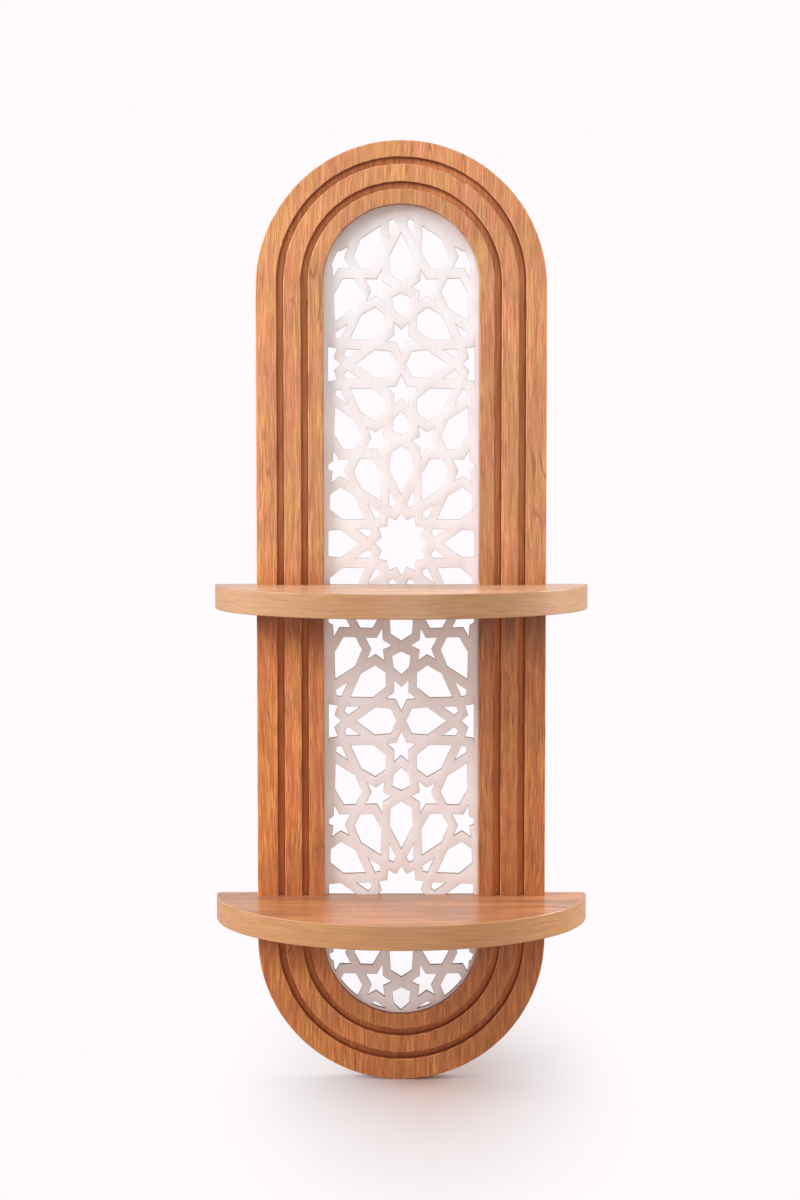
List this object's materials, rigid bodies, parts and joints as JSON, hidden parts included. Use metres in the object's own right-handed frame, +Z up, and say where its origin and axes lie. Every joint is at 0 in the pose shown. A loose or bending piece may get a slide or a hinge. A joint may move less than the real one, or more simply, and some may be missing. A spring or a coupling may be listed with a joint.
{
  "type": "wall shelf",
  "caption": "Tall wall shelf: a round-ended frame with concentric grooves, a pierced rosette lattice in its opening, and half-oval shelves for small ornaments.",
  "frame": {"origin": "on the wall face of the frame's backing, on the centre line at the crown, midway between the backing's opening and the top edge", "axes": "+Z up along the frame's height, +Y back into the wall, +X to the viewer's right; the front faces -Y"},
  "size_m": [0.2782, 0.122, 0.7],
  "materials": {
    "face_wood": "satin veneer, grain upright",
    "backing_wood": "stained, matt",
    "shelf_wood": "satin veneer, grain level",
    "edge_wood": "satin edge band",
    "lattice_paint": "white paint over a cut sheet",
    "steel": "zinc-plated"
  },
  "bodies": {
    "root": {"backing_ring": "backing_wood", "outer_face_top_arch": "face_wood", "outer_face_left_strip": "face_wood", "outer_face_right_strip": "face_wood", "outer_face_bottom_arch": "face_wood", "middle_face_top_arch": "face_wood", "middle_face_left_strip": "face_wood", "middle_face_right_strip": "face_wood", "middle_face_bottom_arch": "face_wood", "inner_face_top_arch": "face_wood", "inner_face_left_strip": "face_wood", "inner_face_right_strip": "face_wood", "inner_face_bottom_arch": "face_wood", "upper_lattice": "lattice_paint", "middle_lattice": "lattice_paint", "lower_lattice": "lattice_paint", "upper_shelf": "shelf_wood", "lower_shelf": "shelf_wood", "upper_shelf_edge_band": "edge_wood", "lower_shelf_edge_band": "edge_wood", "upper_shelf_left_screw": "steel", "upper_shelf_right_screw": "steel", "lower_shelf_left_screw": "steel", "lower_shelf_right_screw": "steel", "left_hanger_plate": "steel", "right_hanger_plate": "steel", "left_hanger_upper_screw": "steel", "left_hanger_lower_screw": "steel", "right_hanger_upper_screw": "steel", "right_hanger_lower_screw": "steel"}
  },
  "joints": []
}
